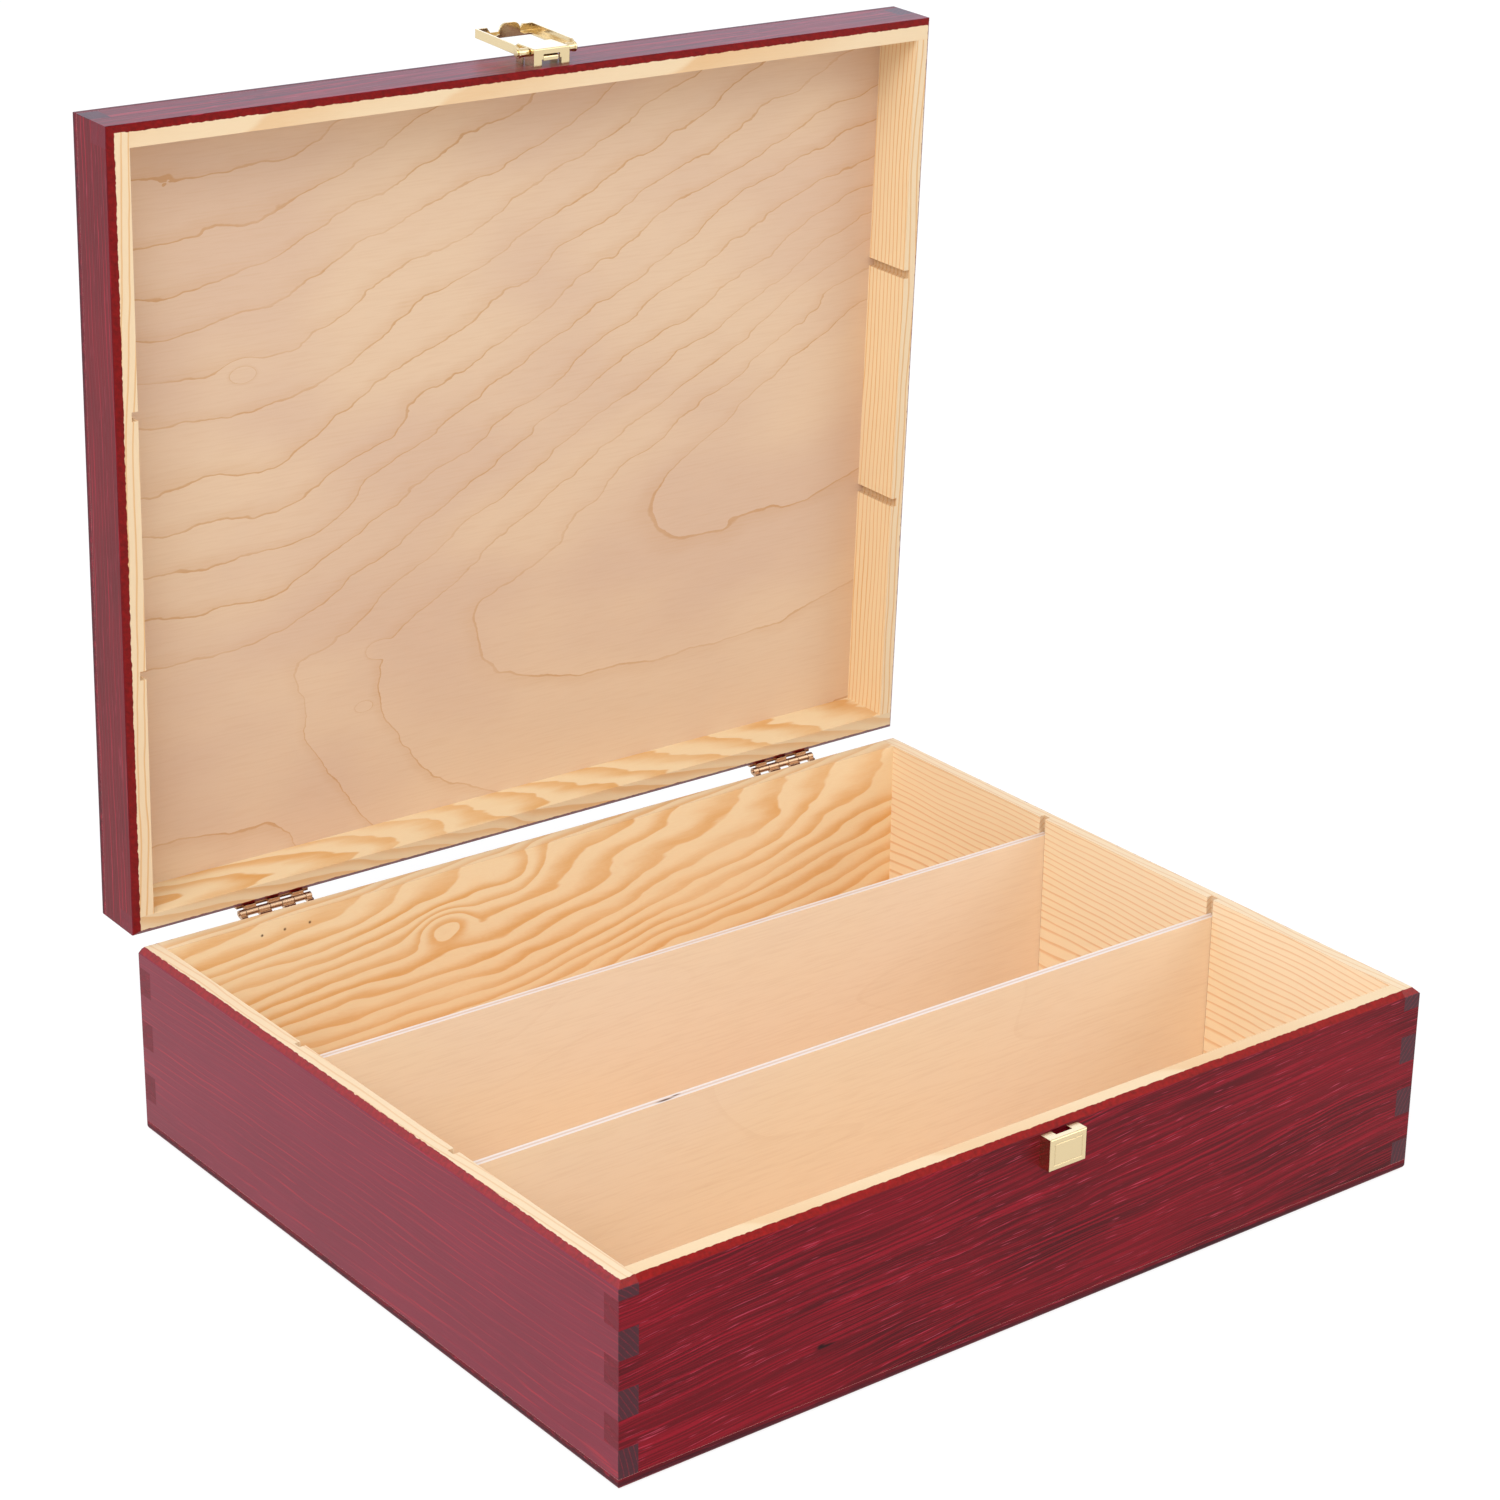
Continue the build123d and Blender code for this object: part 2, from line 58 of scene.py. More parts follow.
# Depths of the sawn grain, the sanded grain and the rolling marks, and radius of the folds, in metres
SAWN_RELIEF = 0.0003
SANDED_RELIEF = 0.0002
ROLLED_RELIEF = 0.0001
FOLD_RADIUS = 0.00025

# Camera fitted to the photograph. A point p of the box lies at R p + CAMERA_SHIFT from the lens, with x to
# the right, y down and z ahead, in metres, where R turns by the length of CAMERA_TURN, in radians, about it.
PHOTO_SIZE = 1500
PHOTO_CENTRE = (875.986, 759.042)
CAMERA_TURN = Vector((1.87904, -0.64938, 0.47364))
CAMERA_SHIFT = Vector((-0.0365659, 0.1417957, 1.3582984))
SENSOR_WIDTH = 36.0


def linear(text):
    """sRGB hex to a linear colour: c / 12.92 up to 0.04045, otherwise ((c + 0.055) / 1.055) ** 2.4."""
    values = [int(text[i : i + 2], 16) / 255 for i in (0, 2, 4)]
    return [v / 12.92 if v <= 0.04045 else ((v + 0.055) / 1.055) ** 2.4 for v in values]


def rgba(values, level=1.0):
    """Linear colour with alpha, scaled by level."""
    return (*[level * v for v in values], 1.0)


def colour(name, text, description):
    """Colour property whose default is given as sRGB hex."""
    return bpy.props.FloatVectorProperty(
        name=name, description=description, subtype="COLOR", size=3, min=0, max=1, default=linear(text)
    )


def number(name, default, description, low=0.0, high=100.0, **kind):
    """Number property with its limits."""
    return bpy.props.FloatProperty(
        name=name, description=description, default=default, min=low, max=high, **kind
    )


class StainLook(bpy.types.PropertyGroup):
    """Red mahogany stain under satin lacquer, on the outside of the box."""

    dark: colour("Dark stain", "4C0811", "Soft early wood that took up most stain")
    mid: colour("Middle stain", "6F0A18", "Average colour of a stained face")
    # Partly painted reflection: the side stain is bluer than the middle stain to stand in for a cool sheen on
    # the side faces of the base.
    side_mid_and_sheen: colour("Side stain", "7A0A29", "Cooler average of the side boards of the base")
    streak: colour("Late wood", "A11328", "Hard late wood that took up little stain")
    dash: colour("Resin dash", "C8465E", "Short resin ducts that show pink")
    bevel: colour("Bevel", "A01210", "Stain on the fresh cut of the bevelled rim")
    end_grain: colour("End grain", "35101C", "Stain soaked into the ends of the side boards")
    end_sheen: colour("Front ends", "70202C", "Ends of the front and back boards, that filled with lacquer")
    roughness: number("Roughness", 0.36, "Blur of the satin lacquer", 0, 1, subtype="FACTOR")
    ior: number("IOR", 1.22, "Thin lacquer that the open grain breaks up", 1, 2)
    side_ior: number("Side IOR", 1.36, "Thin lacquer over the tight grain of the side boards", 1, 2)
    lid_ior: number("Lid side IOR", 1.24, "The same on the lid, sprayed a little drier", 1, 2)


class WoodLook(bpy.types.PropertyGroup):
    """Bare wood on the inside of the box."""

    early: colour("Early wood", "FBE3BA", "Pale spring growth of the pine boards")
    late: colour("Late wood", "E8AE66", "Orange summer growth of the pine boards")
    rim: colour("Cut rim", "DCC2A2", "Sawn and sanded rim")
    ply_edge: colour("Plywood edge", "EDE2DC", "Sanded edge of the dividers")
    pale: colour("Pale wood", "FFF3DA", "Sapwood of the paler boards")
    # Painted shade: this colour darkens the wood inside the divider grooves, where shade falls.
    groove_shade: colour("Groove", "A87850", "Wood scorched a little by the grooving saw")
    birch: colour("Birch", "DBBCA2", "Peeled birch veneer of the panels")
    birch_line: colour("Birch line", "C48E54", "Thin growth line in the veneer")
    divider: colour("Divider", "F8E0C4", "Smooth veneer of the dividers")
    speck: colour("Speck", "4A2A18", "Small resin specks")
    board_roughness: number("Board roughness", 0.6, "Blur of the bare boards", 0, 1, subtype="FACTOR")
    panel_roughness: number("Panel roughness", 0.45, "Blur of the satin panels", 0, 1, subtype="FACTOR")
    divider_roughness: number("Divider roughness", 0.5, "Blur of the dividers", 0, 1, subtype="FACTOR")
    divider_ior: number("Divider IOR", 1.4, "Dry sanded veneer", 1, 2)


class GrainSizes(bpy.types.PropertyGroup):
    """Sizes of the wood patterns in millimetres."""

    front: number("Front rings", 6.0, "Growth ring spacing of the front boards", 0.5, 20)
    back: number("Back rings", 4.6, "Growth ring spacing of the back boards", 0.5, 20)
    side: number("Side rings", 1.8, "Growth ring spacing of the side boards", 0.5, 20)
    veneer: number("Veneer lines", 17.8, "Distance between growth lines in the veneer", 2, 60)
    dash_length: number("Dash length", 12.0, "Length of a resin dash and its gap", 1, 60)
    dash_width: number("Dash width", 0.45, "Width of a resin dash and its gap", 0.1, 5)
    bevel: number("Bevel width", 2.2, "Width of the stained bevel on the rim", 0.5, 5)


class BrassLook(bpy.types.PropertyGroup):
    """Pressed and lacquered brass fittings."""

    plate: colour("Latch brass", "E0CBA0", "Pale brass sheet of catch and latch")
    hinge: colour("Hinge brass", "C4A283", "Duller brass of the rolled hinges")
    roughness: number("Roughness", 0.2, "Blur of the latch's reflections", 0, 1, subtype="FACTOR")
    hinge_roughness: number("Hinge roughness", 0.28, "The same on the hinges", 0, 1, subtype="FACTOR")


class StageSizes(bpy.types.PropertyGroup):
    """Floor, light and camera."""

    floor_half: number("Floor half width", 6.0, "Half the floor's width", 1, 50, unit="LENGTH")
    paper: colour("Paper", "E5E5E5", "Pale grey of the floor for the light that it throws back")
    paper_shade: colour("Paper shade", "818181", "Part of the seen floor that takes the shadow")
    paper_glow: number("Paper glow", 0.84, "Level of the seen floor in full shadow", 0, 1)
    focal_px: number("Focal length", 3735.5, "Focal length in pixels of a frame 1500 pixels wide", 500, 20000)
    sky: number("Sky level", 0.7, "Strength of the soft light from all sides", 0, 3)
    key: number("Key light", 48.0, "Power of the softbox at the left front", 0, 1000)
    fill: number("Fill light", 14.0, "Power of the softbox at the right front", 0, 1000)
    back: number("Back light", 30.0, "Power of the cool softbox at the left back", 0, 1000)
    rear: number("Rear light", 11.0, "Power of the cool softbox at the right back", 0, 1000)


def add(nodes, kind, inputs=(), output=0, **settings):
    """Adds one node with its settings. Inputs pair the name or number of a socket with a value, or with the
    output socket that feeds it. Gives one of the node's output sockets."""
    node = nodes.new("ShaderNode" + kind)
    for name, value in settings.items():
        setattr(node, name, value)
    for socket, value in dict(inputs).items():
        if isinstance(value, bpy.types.NodeSocket):
            nodes.id_data.links.new(value, node.inputs[socket])
        else:
            node.inputs[socket].default_value = value
    return node.outputs[output] if node.outputs else None


def start_material(name):
    """Empty node material with its nodes."""
    material = bpy.data.materials.new(name)
    material.use_nodes = True
    material.node_tree.nodes.clear()
    return material, material.node_tree.nodes


def shut_place(nodes, lid):
    """Where a point of the box is with the lid shut, in millimetres: p, or for the lid R (p - h) + h, where
    R turns by 88 degrees about the hinge line h."""
    turn = Matrix.Rotation(LID_ANGLE if lid else 0.0, 3, "X")
    inputs = {
        "Vector": add(nodes, "TexCoord", output="Object"),
        "Location": HINGE_LINE - turn @ HINGE_LINE,
        "Rotation": turn.to_euler(),
        "Scale": (MM, MM, MM),
    }
    return add(nodes, "Mapping", inputs)


def patches(nodes, place, size, seed, detail=2.0, output=0):
    """Soft random values from 0 to 1 whose patches are about as large as size, in millimetres. Each step of
    detail adds patches half as large."""
    shrunk = add(
        nodes,
        "Mapping",
        {"Vector": place, "Location": (seed, 0.37 * seed, 0.71 * seed), "Scale": [1 / s for s in size]},
    )
    return add(nodes, "TexNoise", {"Vector": shrunk, "Scale": 1.0, "Detail": detail}, output)


def spot(nodes, place, centre, reach):
    """1 at a centre, falling smoothly to 0 on the ellipsoid of half widths reach about it."""
    near = add(
        nodes,
        "Mapping",
        {
            "Vector": place,
            "Location": [-c / r for c, r in zip(centre, reach)],
            "Scale": [1 / r for r in reach],
        },
    )
    away = add(nodes, "VectorMath", {0: near}, output="Value", operation="LENGTH")
    inputs = {"Value": away, "To Min": 1.0, "To Max": 0.0}
    return add(nodes, "MapRange", inputs, interpolation_type="SMOOTHERSTEP")


def edge_distance(nodes, place, rear_gain):
    """Distance from the outer side faces: the least of 175 - |x|, 147 + y and 147 - y + rear_gain, where the
    gain makes up for a narrower bevel at the back."""
    axes = add(nodes, "SeparateXYZ", {0: place}).node.outputs
    aside = add(nodes, "Math", {0: axes[0]}, operation="ABSOLUTE")
    from_side = add(nodes, "Math", {0: HALF_LENGTH, 1: aside}, operation="SUBTRACT")
    from_front = add(nodes, "Math", {0: axes[1], 1: HALF_DEPTH}, operation="ADD")
    from_rear = add(nodes, "Math", {0: HALF_DEPTH + rear_gain, 1: axes[1]}, operation="SUBTRACT")
    across = add(nodes, "Math", {0: from_front, 1: from_rear}, operation="MINIMUM")
    return add(nodes, "Math", {0: from_side, 1: across}, operation="MINIMUM")


def wander(nodes, place, cause, size, reach, seed):
    """Moves a place by reach (n - 1/2) millimetres, where n is random and changes with cause over size."""
    push = patches(nodes, cause, size, seed, output="Color")
    push = add(nodes, "VectorMath", {0: push, 1: (0.5, 0.5, 0.5)}, operation="SUBTRACT")
    return add(nodes, "VectorMath", {0: push, 1: reach, 2: place}, operation="MULTIPLY_ADD")


def straight_trunk(nodes, place, board):
    """Place as if the trunk had grown straight: depth and height lose slant u, with u along the board, and
    two random drifts, a slow one of up to wobble millimetres and a quick one a quarter as large."""
    dv, dw = board["slant"]
    wobble = board["wobble"]
    along = add(nodes, "SeparateXYZ", {0: place})
    along = add(nodes, "CombineXYZ", {1: along, 2: along})
    straight = add(
        nodes, "VectorMath", {0: along, 1: (0, -dv, -dw), 2: place}, operation="MULTIPLY_ADD"
    )
    straight = wander(nodes, straight, place, (130, 60, 45), (0, 2 * wobble, 2 * wobble), board["seed"])
    reach = (0, 0.5 * wobble, 0.5 * wobble)
    return wander(nodes, straight, place, (34, 14, 9), reach, board["seed"] + 5)


def growth_rings(nodes, place, straight, board):
    """Ring number r / spacing, where r is the distance from the pith, a straight line at depth v and height
    w. A knot adds a hill of its own, lift rings high."""
    v, w = board["pith"]
    arm = add(nodes, "VectorMath", {0: straight, 1: (0, 1, 1), 2: (0, -v, -w)}, operation="MULTIPLY_ADD")
    radius = add(nodes, "VectorMath", {0: arm}, output="Value", operation="LENGTH")
    rings = add(nodes, "Math", {0: radius, 1: board["spacing"]}, operation="DIVIDE")
    for centre, reach, lift in board.get("knots", ()):
        swirl = spot(nodes, place, centre, reach)
        rings = add(nodes, "Math", {0: swirl, 1: lift, 2: rings}, operation="MULTIPLY_ADD")
    return rings


def late_wood(nodes, rings, start=0.2):
    """Each year from 0 in spring growth, from start on slowly up to 1, then sharply back at the winter
    line."""
    year = add(nodes, "Math", {0: rings}, operation="FRACT")
    rise = add(
        nodes,
        "MapRange",
        {"Value": year, "From Min": start, "From Max": 0.9},
        interpolation_type="SMOOTHSTEP",
    )
    fall = add(
        nodes,
        "MapRange",
        {"Value": year, "From Min": 0.92, "From Max": 1.0, "To Min": 1.0, "To Max": 0.0},
        interpolation_type="SMOOTHSTEP",
    )
    return add(nodes, "Math", {0: rise, 1: fall}, operation="MULTIPLY")


def stained_face(nodes, straight, late, clouds, seed, mid, drink=1.0, ring_share=0.4):
    """Stained wood: dark where soft wood drank the stain, crimson in streaks of hard late wood, with short
    pink resin dashes along the grain. With less drink the dark blots and the dashes fade, and with less
    ring_share the streaks hold less closely to the rings."""
    stain = bpy.context.scene.box_stain
    sizes = bpy.context.scene.box_grain
    depth = add(
        nodes,
        "MapRange",
        {"Value": clouds, "From Min": 0.32, "From Max": 0.7, "To Min": 1.0 - drink},
        interpolation_type="SMOOTHSTEP",
    )
    soft = add(nodes, "Mix", {0: depth, 6: rgba(stain.dark), 7: rgba(mid)}, 2, data_type="RGBA")
    streaks = patches(nodes, straight, (60, 3, 0.5), seed + 15, detail=3.0)
    streaks = add(
        nodes,
        "MapRange",
        {"Value": streaks, "From Min": 0.42, "From Max": 0.64},
        interpolation_type="SMOOTHSTEP",
    )
    even = 0.7 * (1.0 - ring_share)
    hard = add(nodes, "Math", {0: late, 1: ring_share, 2: even}, operation="MULTIPLY_ADD")
    share = add(nodes, "Math", {0: hard, 1: streaks}, operation="MULTIPLY")
    red = add(nodes, "Mix", {0: share, 6: soft, 7: rgba(stain.streak)}, 2, data_type="RGBA")
    dashes = patches(nodes, straight, (sizes.dash_length, 2, sizes.dash_width), seed + 20, detail=1.0)
    dashes = add(
        nodes,
        "MapRange",
        {"Value": dashes, "From Min": 0.66, "From Max": 0.76, "To Max": 0.65 * drink},
        interpolation_type="SMOOTHSTEP",
    )
    return add(nodes, "Mix", {0: dashes, 6: red, 7: rgba(stain.dash)}, 2, data_type="RGBA")


def bare_board(nodes, place, lid, board, late, fibres, clouds):
    """Bare pine: cream spring growth and orange summer growth, with fine fibres, a share of pale sapwood and
    a few small specks. On most boards of the base the rings fade towards the rim, and the lid has a contrast
    of its own. The sawn rim is duller, with stronger ring lines, and painted shade darkens the wood in the
    divider grooves. Each board's bare wood is also drawn lighter or darker as painted light and shade."""
    wood = bpy.context.scene.box_wood
    height = add(nodes, "SeparateXYZ", {0: place}, output=2)
    foot, rim, whole_lid = board["contrast"]
    low, high = (whole_lid, whole_lid) if lid else (foot, rim)
    contrast = add(
        nodes,
        "MapRange",
        {"Value": height, "From Max": RIM_HEIGHT, "To Min": low, "To Max": high},
    )
    off_rim = add(nodes, "Math", {0: height, 1: RIM_HEIGHT}, operation="SUBTRACT")
    off_rim = add(nodes, "Math", {0: off_rim}, operation="ABSOLUTE")
    on_rim = add(
        nodes,
        "MapRange",
        {"Value": off_rim, "From Min": 0.05, "From Max": 0.3, "To Min": 1.0, "To Max": 0.0},
    )
    gain = 1.5 * board["ring_share"]
    contrast = add(nodes, "Math", {0: on_rim, 1: gain, 2: contrast}, operation="MULTIPLY_ADD")
    strength = add(nodes, "Math", {0: clouds, 1: 1.1, 2: 0.12}, operation="MULTIPLY_ADD")
    strength = add(nodes, "Math", {0: strength, 1: contrast}, operation="MULTIPLY")
    share = add(nodes, "Math", {0: late, 1: strength}, operation="MULTIPLY")
    share = add(nodes, "Math", {0: fibres, 1: 0.24, 2: share}, operation="MULTIPLY_ADD")
    share = add(nodes, "Math", {0: share, 1: 0.1}, operation="SUBTRACT", use_clamp=True)
    # Painted light and shade: each board's bare wood is drawn lighter or darker for how the light falls on
    # it.
    painted_light_level = board["painted_light_level"][lid]
    bare = add(
        nodes, "Mix", {0: share, 6: rgba(wood.early, painted_light_level), 7: rgba(wood.late, painted_light_level)}, 2, data_type="RGBA"
    )
    bare = add(nodes, "Mix", {0: board["pale"][lid], 6: bare, 7: rgba(wood.pale)}, 2, data_type="RGBA")
    sawn = add(nodes, "Math", {0: on_rim, 1: 0.45}, operation="MULTIPLY")
    bare = add(nodes, "Mix", {0: sawn, 6: bare, 7: rgba(wood.rim)}, 2, data_type="RGBA")
    aside = add(nodes, "SeparateXYZ", {0: place})
    aside = add(nodes, "Math", {0: aside}, operation="ABSOLUTE")
    # Painted shade inside the divider grooves: the wood there is mixed part way towards a darker colour.
    groove_shade_share = add(
        nodes,
        "MapRange",
        {
            "Value": aside,
            "From Min": INNER_HALF_LENGTH + 0.1,
            "From Max": INNER_HALF_LENGTH + 0.5,
            "To Max": 0.35,
        },
    )
    groove_shade_share = add(nodes, "MapRange", {"Value": on_rim, "To Min": groove_shade_share, "To Max": 0.0})
    bare = add(nodes, "Mix", {0: groove_shade_share, 6: bare, 7: rgba(wood.groove_shade)}, 2, data_type="RGBA")
    for centre, reach in board.get("specks", ()):
        dot = spot(nodes, place, centre, reach)
        bare = add(nodes, "Mix", {0: dot, 6: bare, 7: rgba(wood.speck)}, 2, data_type="RGBA")
    return bare


def pine_board(name, lid, across, board):
    """Planed pine board, finger-jointed, glued and sanded. Outside it is sprayed with red mahogany stain and
    satin lacquer: streaks follow the growth rings, and end grain, which soaks stain up, is nearly black.
    The bevel was cut last and took a clear, speckled red. Inside the wood is bare, with fibres that are drawn
    half a millimetre wide, coarser than real ones, so that they show."""
    scene = bpy.context.scene
    stain, sizes = scene.box_stain, scene.box_grain
    seed = board["seed"]
    material, nodes = start_material(name)
    place = shut_place(nodes, lid)
    grain_place = place
    if across:
        grain_place = add(nodes, "Mapping", {"Vector": place, "Rotation": (0, 0, math.radians(90))})
    straight = straight_trunk(nodes, grain_place, board)
    late = late_wood(nodes, growth_rings(nodes, place, straight, board), board["late_start"])
    fibres = patches(nodes, straight, (30, 0.5, 0.5), seed + 9, detail=3.0)
    clouds = patches(nodes, straight, (110, 30, 12), seed + 2)
    bare = bare_board(nodes, place, lid, board, late, fibres, clouds)

    blots = patches(nodes, place, (90, 60, 28), seed + 6)
    red = stained_face(
        nodes, straight, late, blots, seed, board["mid"][lid], board["drink"][lid], board["ring_share"]
    )
    for centre, reach in board.get("knot_spots", ()):
        dot = spot(nodes, place, centre, reach)
        red = add(nodes, "Mix", {0: dot, 6: red, 7: rgba(stain.dark, 0.25)}, 2, data_type="RGBA")
    along = add(nodes, "SeparateXYZ", {0: place}, output=1 if across else 0)
    along = add(nodes, "Math", {0: along}, operation="ABSOLUTE")
    end = HALF_DEPTH if across else HALF_LENGTH
    soaked = add(
        nodes,
        "MapRange",
        {"Value": along, "From Min": end - 0.3, "From Max": end - 0.1, "To Max": board["end_share"]},
    )
    ring_lines = add(nodes, "Math", {0: late, 1: -0.35, 2: 1.0}, operation="MULTIPLY_ADD")
    soaked = add(nodes, "Math", {0: soaked, 1: ring_lines}, operation="MULTIPLY")
    red = add(nodes, "Mix", {0: soaked, 6: red, 7: rgba(board["end_tint"])}, 2, data_type="RGBA")
    speckle = patches(nodes, place, (1.6, 1.6, 1.6), seed + 30, detail=4.0)
    speckle = add(nodes, "MapRange", {"Value": speckle, "From Min": 0.25, "From Max": 0.8})
    # The lid's bevel is drawn darker, at 0.7 of the base's level.
    bevel_level = 0.7 if lid else 1.0
    fresh = add(
        nodes,
        "Mix",
        {0: speckle, 6: rgba(stain.bevel, 0.5 * bevel_level), 7: rgba(stain.bevel, bevel_level)},
        2,
        data_type="RGBA",
    )
    inside = edge_distance(nodes, place, 0.0)
    on_bevel = add(nodes, "MapRange", {"Value": inside, "From Min": 0.12, "From Max": 0.35})
    red = add(nodes, "Mix", {0: on_bevel, 6: red, 7: fresh}, 2, data_type="RGBA")

    reach = edge_distance(nodes, place, 0.0 if lid else sizes.bevel - REAR_BEVEL)
    ragged = patches(nodes, place, (2.5, 2.5, 2.5), seed + 3, detail=3.0)
    reach = add(nodes, "Math", {0: ragged, 1: 0.9, 2: reach}, operation="MULTIPLY_ADD")
    bare_here = add(
        nodes,
        "MapRange",
        {"Value": reach, "From Min": sizes.bevel + 0.38, "From Max": sizes.bevel + 0.55},
    )
    surface = add(nodes, "Mix", {0: bare_here, 6: red, 7: bare}, 2, data_type="RGBA")
    relief = add(nodes, "Math", {0: late, 1: 0.4, 2: fibres}, operation="MULTIPLY_ADD")
    normal = add(nodes, "Bump", {"Strength": 0.12, "Distance": SAWN_RELIEF, "Height": relief})
    shine = add(
        nodes,
        "MapRange",
        {"Value": bare_here, "To Min": stain.roughness, "To Max": scene.box_wood.board_roughness},
    )
    shader = add(
        nodes,
        "BsdfPrincipled",
        {"Base Color": surface, "Roughness": shine, "IOR": board["ior"][lid], "Normal": normal},
    )
    add(nodes, "OutputMaterial", {"Surface": shader})
    return material


def veneer_rings(nodes, place, seed):
    """Growth lines where a plane cuts a tapering trunk: nested arches that open to the right. The line number
    is the smooth least of two families, with X and Y from the left front inner corner. One falls from front
    to back and sweeps up to the right, 1 + (Y + h max(X - 74, 0) - 36) / spacing, with h from 0.46 to 0.62.
    The other closes the arches, 15.2 - 4.2 exp((74 - X) / 125) - max(Y - 232 + 0.47 max(X - 145, 0), 0) / 50,
    whose first two terms never fall below 10.6. Gives the number and the distance between two lines."""
    spacing = bpy.context.scene.box_grain.veneer
    sweep_x, arch_x, arch_y, crown_line = 74.0, 145.0, 232.0, 15.2
    corner = (INNER_HALF_LENGTH, INNER_HALF_DEPTH, 0)
    bent = add(nodes, "VectorMath", {0: place, 1: corner}, operation="ADD")
    for size, reach, step in (((120, 70, 400), 26, 0), ((30, 18, 400), 11, 1), ((7, 4, 400), 2.4, 2)):
        bent = wander(nodes, bent, place, size, (reach, reach, 0), seed + 3 * step)
    axes = add(nodes, "SeparateXYZ", {0: bent}).node.outputs
    sweep = add(nodes, "Math", {0: axes[0], 1: sweep_x}, operation="SUBTRACT")
    sweep = add(nodes, "Math", {0: sweep, 1: 0.0, 2: 30.0}, operation="SMOOTH_MAX")
    steep = add(
        nodes,
        "MapRange",
        {"Value": axes[1], "From Min": 22.0, "From Max": 134.0, "To Min": 0.46, "To Max": 0.62},
    )
    upper = add(nodes, "Math", {0: sweep, 1: steep, 2: axes[1]}, operation="MULTIPLY_ADD")
    upper = add(nodes, "Math", {0: upper, 1: 36.0 - spacing}, operation="SUBTRACT")
    upper = add(nodes, "Math", {0: upper, 1: spacing}, operation="DIVIDE")
    fade = add(nodes, "Math", {0: axes[0], 1: -1 / 125.0, 2: sweep_x / 125.0}, operation="MULTIPLY_ADD")
    fade = add(nodes, "Math", {0: fade}, operation="EXPONENT")
    crown = add(nodes, "Math", {0: fade, 1: -4.2, 2: crown_line}, operation="MULTIPLY_ADD")
    crown = add(nodes, "Math", {0: crown, 1: 10.6, 2: 0.6}, operation="SMOOTH_MAX")
    right = add(nodes, "Math", {0: axes[0], 1: arch_x}, operation="SUBTRACT")
    right = add(nodes, "Math", {0: right, 1: 0.0, 2: 25.0}, operation="SMOOTH_MAX")
    below = add(nodes, "Math", {0: right, 1: 0.47, 2: axes[1]}, operation="MULTIPLY_ADD")
    below = add(nodes, "Math", {0: below, 1: arch_y}, operation="SUBTRACT")
    below = add(nodes, "Math", {0: below, 1: 0.0, 2: 30.0}, operation="SMOOTH_MAX")
    lower = add(nodes, "Math", {0: below, 1: -1 / 50.0, 2: crown}, operation="MULTIPLY_ADD")
    level = add(nodes, "Math", {0: upper, 1: lower, 2: 0.5}, operation="SMOOTH_MIN")
    closing = add(nodes, "Math", {0: upper, 1: lower}, operation="SUBTRACT")
    gap = add(
        nodes,
        "MapRange",
        {"Value": closing, "From Min": -0.4, "From Max": 0.6, "To Min": spacing, "To Max": 45.0},
    )
    return level, gap


def veneer_face(nodes, place, level, gap, seed, plain, contrast):
    """Satin birch: thin lines where the level passes whole numbers, gap millimetres apart, each darkening
    over 7 mm and then ending sharply, with soft clouds and with faint fibres that are drawn 0.7 mm wide,
    coarser than real ones, so that they show."""
    wood = bpy.context.scene.box_wood
    year = add(nodes, "Math", {0: level}, operation="FRACT")
    before = add(nodes, "Math", {0: 1.0, 1: year}, operation="SUBTRACT")
    before = add(nodes, "Math", {0: before, 1: gap}, operation="MULTIPLY")
    thin = add(
        nodes,
        "MapRange",
        {"Value": before, "From Min": 0.45, "From Max": 1.0, "To Min": contrast, "To Max": 0.0},
        interpolation_type="SMOOTHSTEP",
    )
    broad = add(
        nodes,
        "MapRange",
        {"Value": before, "From Max": 7.0, "To Min": 0.3 * contrast, "To Max": 0.0},
        interpolation_type="SMOOTHSTEP",
    )
    line = add(nodes, "Math", {0: thin, 1: broad}, operation="MAXIMUM")
    fade = patches(nodes, place, (50, 35, 50), seed + 4)
    fade = add(nodes, "MapRange", {"Value": fade, "From Min": 0.35, "From Max": 0.6, "To Min": 0.45})
    line = add(nodes, "Math", {0: line, 1: fade}, operation="MULTIPLY")
    clouds = patches(nodes, place, (110, 70, 60), seed + 8)
    clouds = add(
        nodes,
        "MapRange",
        {"Value": clouds, "From Min": 0.35, "From Max": 0.65, "To Max": 0.25},
        interpolation_type="SMOOTHSTEP",
    )
    face = add(nodes, "Mix", {0: clouds, 6: rgba(plain), 7: rgba(wood.early)}, 2, data_type="RGBA")
    fibres = patches(nodes, place, (14, 0.7, 0.7), seed + 7, detail=3.0)
    fibres = add(nodes, "MapRange", {"Value": fibres, "From Min": 0.45, "From Max": 0.8, "To Max": 0.13})
    share = add(nodes, "Math", {0: line, 1: fibres}, operation="ADD")
    return add(nodes, "Mix", {0: share, 6: face, 7: rgba(wood.birch_line)}, 2, data_type="RGBA")


